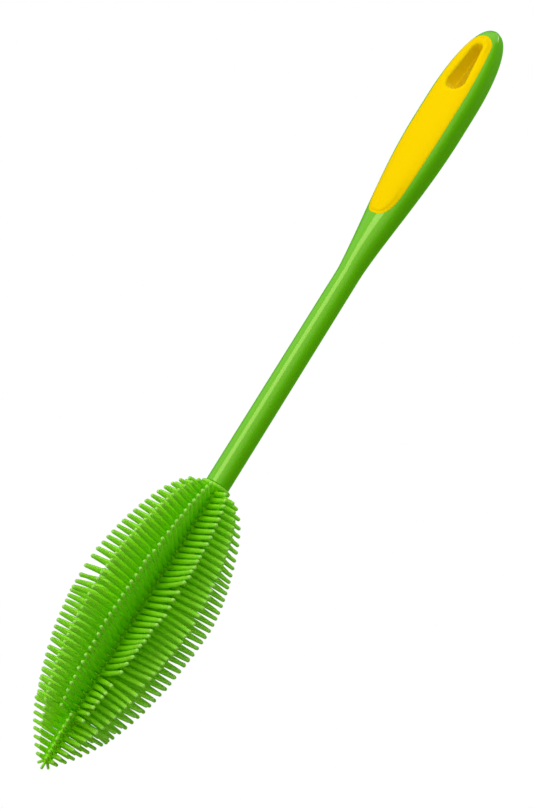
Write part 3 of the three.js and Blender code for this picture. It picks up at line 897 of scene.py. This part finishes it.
def makeBrushHead(material):
    shape = bristleShape
    draw = random.Random(shape["seed"])
    points, faces = [], []
    addSleeve(points, faces)
    flangeZ = tipZ + headLength - headShape["flangeThickness"]
    # the flange gets the painted shade and sheen of the bristles' free ends
    along = [headShape["flangeShadeAndSheen"] * (point[2] >= flangeZ) for point in points]
    up = Vector((0, 0, 1))
    count = 0
    for angle, height, leanHere in bristleRows(draw):
        angle += shape["twist"] * (height - shape["untwisted"])
        lean = leanHere + draw.gauss(0, shape["strayLean"])
        outward = outwardAt(angle)
        swung = outwardAt(angle + draw.gauss(0, shape["straySide"]))
        lifted = math.radians(lean * (1 - shape["bendShare"]))
        axis = swung * math.cos(lifted) + up * math.sin(lifted)
        rise = up * math.cos(lifted) - swung * math.sin(lifted)
        inner = sleeveRadiusAt(height) - shape["rootDepth"]
        start = outward * inner + up * (tipZ + height)
        length = (bristleReach(height) - inner) / math.cos(lifted)
        bend = math.tan(math.radians(lean * shape["bendShare"]))
        slim = float(np.interp(height, *zip(*shape["slimming"])))
        addBristle(points, faces, along, start, axis, rise, length, bend,
                   shape["rootRadius"] * slim, shape["tipRadius"] * slim)
        count += 1
    count += addCrown(points, faces, along)
    head = makePiece("brush_head_moulding", points, faces, material, headShape["sharpAngle"])
    setShares(head, "alongBristle", along)
    print("bristles:", count)
    return head


# Build the pieces

padLoop = padOutline()
holeLoop = holeOutline()
handle = makeHandle(glossyGreenPlastic(), padLoop, holeLoop)
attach(handle, "root")
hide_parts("handle")
print("handle made:", len(handle.data.polygons), "faces")

gripPoints, gripFaces, holeLightShare = softGripSkin(padLoop, holeLoop)
softGrip = makePiece("soft_grip_inlay", gripPoints, gripFaces, softYellowRubber(),
                     gripShape["sharpAngle"])
setShares(softGrip, "holeLightShare", holeLightShare)
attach(softGrip, "root")
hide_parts("soft_grip")
print("soft grip made:", len(softGrip.data.polygons), "faces")

brushHead = makeBrushHead(bristleGreenRubber())
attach(brushHead, "root")
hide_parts("brush_head")
print("brush head made:", len(brushHead.data.polygons), "faces")

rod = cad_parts["core_rod"]  # inside the head and the shaft, so it keeps its own shape
rod.data.materials.clear()
rod.data.materials.append(drawnSteel())
print("rod given its steel")


# Camera: below the brush, with its axis leaning across the picture

cameraSet = {
    "azimuth": 40,
    "elevation": -12,
    "distance": 1.1,
    "aimHeight": 165.65,     # on the shaft's axis, above the head's tip
    "aimAside": 0.34,        # left of the shaft's axis in the picture
    "axisLean": 31.87,       # of the shaft in the picture, right of upright
    "focalPixels": 2807,
    "pictureHeight": 809,
    "sensor": 36,
}


def directionAt(azimuth, elevation):
    # away from the brush, by degrees to the right of the grip's face and above the level
    azimuth, elevation = math.radians(azimuth), math.radians(elevation)
    level = math.cos(elevation)
    return Vector((math.sin(azimuth) * level, -math.cos(azimuth) * level, math.sin(elevation)))


def makeCamera():
    made = cameraSet
    back = directionAt(made["azimuth"], made["elevation"])
    axis = Vector((0, 0, 1))
    upright = (axis - back * axis.dot(back)).normalized()
    across = upright.cross(back)
    lean = math.radians(made["axisLean"])
    up = upright * math.cos(lean) - across * math.sin(lean)
    right = across * math.cos(lean) + upright * math.sin(lean)
    data = bpy.data.cameras.new("camera")
    data.sensor_width = made["sensor"]
    data.lens = made["focalPixels"] / made["pictureHeight"] * made["sensor"]
    camera = bpy.data.objects.new("camera", data)
    scene.collection.objects.link(camera)
    aim = Vector((0, 0, (tipZ + made["aimHeight"]) * mm)) - across * (made["aimAside"] * mm)
    turned = Matrix((right, up, back)).transposed().to_4x4()
    camera.matrix_world = Matrix.Translation(aim + back * made["distance"]) @ turned
    scene.camera = camera


makeCamera()
print("camera placed")


# Light and stage

lightSet = {
    "keyAzimuth": -7,       # a tall strip left of the camera, for the streak on the shaft
    "keyElevation": 8,
    "keyDistance": 0.8,
    "keyWidth": 0.5,
    "keyHeight": 1.3,
    "keyPower": 5.4,
    "fillAzimuth": 155,     # from behind and above, along the shaded edge
    "fillElevation": 50,
    "fillPower": 11,
    "frontAzimuth": 12,     # from the front and above, into the rows of bristles
    "frontElevation": 40,
    "frontPower": 4.3,
    "softDistance": 1.4,    # of both soft lamps
    "softSize": 1.2,
    "ambient": 0.255,
    "aimHeight": 165,
}


def makeLamp(name, azimuth, elevation, distance, width, height, power):
    data = bpy.data.lights.new(name, "AREA")
    data.shape = "RECTANGLE"
    data.size, data.size_y = width, height
    data.energy = power
    lamp = bpy.data.objects.new(name, data)
    scene.collection.objects.link(lamp)
    back = directionAt(azimuth, elevation)
    aim = Vector((0, 0, (tipZ + lightSet["aimHeight"]) * mm))
    lamp.location = aim + back * distance
    lamp.rotation_mode = "QUATERNION"
    lamp.rotation_quaternion = (-back).to_track_quat("-Z", "Y")
    lamp.visible_camera = False
    return lamp


def seenDirectly(nodes, links):
    # 1 on rays that the camera, a reflection or a clear piece sees, 0 on light for the object
    path = nodes.new("ShaderNodeLightPath")
    seen = path.outputs["Is Camera Ray"]
    for ray in ("Is Glossy Ray", "Is Transmission Ray"):
        either = nodes.new("ShaderNodeMath")
        either.operation = "MAXIMUM"
        links.new(seen, either.inputs[0])
        links.new(path.outputs[ray], either.inputs[1])
        seen = either.outputs["Value"]
    return seen


def makeWorld():
    # white where the camera and reflections see it, plain ambient light on the object
    world = bpy.data.worlds.new("studio")
    scene.world = world
    world.use_nodes = True
    nodes, links = world.node_tree.nodes, world.node_tree.links
    nodes.clear()
    background = nodes.new("ShaderNodeBackground")
    background.inputs["Color"].default_value = (1, 1, 1, 1)
    strength = mappedRange(nodes, links, seenDirectly(nodes, links), lightSet["ambient"], 1)
    links.new(strength, background.inputs["Strength"])
    output = nodes.new("ShaderNodeOutputWorld")
    links.new(background.outputs["Background"], output.inputs["Surface"])


stageSet = {
    "drop": 1000,       # from the head's tip down to the floor
    "size": 9000,
    "colour": (0.86, 0.86, 0.85),
    "paleColour": (0.9, 0.9, 0.89),
    "mottle": 3,
    "roughness": 0.6,
    "shine": 0,         # mirrors nothing
    "seenGlow": 0.88,   # looks pale to the camera, without more light on the brush
}


def makeFloor():
    material, nodes, links, shader = newMaterial("paleFloor")
    clouds = noiseNode(nodes, links, stageSet["mottle"], richDetail)
    colour = mixedColour(nodes, links, clouds.outputs["Fac"], stageSet["colour"], stageSet["paleColour"])
    links.new(colour, shader.inputs["Base Color"])
    shader.inputs["Roughness"].default_value = stageSet["roughness"]
    shader.inputs["Specular IOR Level"].default_value = stageSet["shine"]
    links.new(colour, shader.inputs["Emission Color"])
    links.new(mappedRange(nodes, links, seenDirectly(nodes, links), 0, stageSet["seenGlow"]),
              shader.inputs["Emission Strength"])
    half = stageSet["size"] / 2
    z = tipZ - stageSet["drop"]
    corners = [(-half, -half, z), (half, -half, z), (half, half, z), (-half, half, z)]
    floor = makePiece("floor", corners, [(0, 1, 2, 3)], material, handleShape["sharpAngle"])


cardSet = {
    "start": 30,        # azimuth, from the front round the shaded side
    "end": 300,
    "fade": 50,         # degrees over which it gets dense
    "endFade": 45,      # and thins out again
    "radius": 600,
    "height": 3200,
    "columns": 75,
    # the green of the painted shade that the edges mirror
    "colour": (0.11, 0.48, 0.003),
    "paleColour": (0.12, 0.52, 0.004),
    "mottle": 4,
    "roughness": 0.8,
}


def makeGreenCard():
    # painted shade seen only in reflections, like a card on a product table: both edges mirror this
    # curved green card instead of the white surround, and it takes no light away
    material, nodes, links, shader = newMaterial("greenCard")
    clouds = noiseNode(nodes, links, cardSet["mottle"], richDetail)
    colour = mixedColour(nodes, links, clouds.outputs["Fac"], cardSet["colour"], cardSet["paleColour"])
    links.new(colour, shader.inputs["Base Color"])
    shader.inputs["Roughness"].default_value = cardSet["roughness"]
    links.new(namedShares(nodes, "cardCover"), shader.inputs["Alpha"])
    degrees = np.linspace(cardSet["start"], cardSet["end"], cardSet["columns"])
    turns = np.radians(degrees)
    middleZ = tipZ + lightSet["aimHeight"]
    points = []
    for z in (middleZ - cardSet["height"] / 2, middleZ + cardSet["height"] / 2):
        across, inward = cardSet["radius"] * np.sin(turns), -cardSet["radius"] * np.cos(turns)
        points.extend(np.column_stack([across, inward, np.full(len(turns), z)]))
    columns = cardSet["columns"]
    faces = [(here, here + 1, columns + here + 1, columns + here) for here in range(columns - 1)]
    card = makePiece("greenCard", points, faces, material, handleShape["sharpAngle"])
    dense = smoothStep((degrees - cardSet["start"]) / cardSet["fade"])
    dense *= smoothStep((cardSet["end"] - degrees) / cardSet["endFade"])
    setShares(card, "cardCover", np.tile(dense, 2))  # along its lower and its upper edge
    card.visible_camera = card.visible_diffuse = card.visible_shadow = False


makeLamp("keyStrip", lightSet["keyAzimuth"], lightSet["keyElevation"], lightSet["keyDistance"],
         lightSet["keyWidth"], lightSet["keyHeight"], lightSet["keyPower"])
for soft in ("fill", "front"):
    lamp = makeLamp(soft + "Soft", lightSet[soft + "Azimuth"], lightSet[soft + "Elevation"],
                    lightSet["softDistance"], lightSet["softSize"], lightSet["softSize"],
                    lightSet[soft + "Power"])
    lamp.visible_glossy = soft == "fill"  # the front one makes no second streak
makeWorld()
makeFloor()
makeGreenCard()
print("light and floor made")
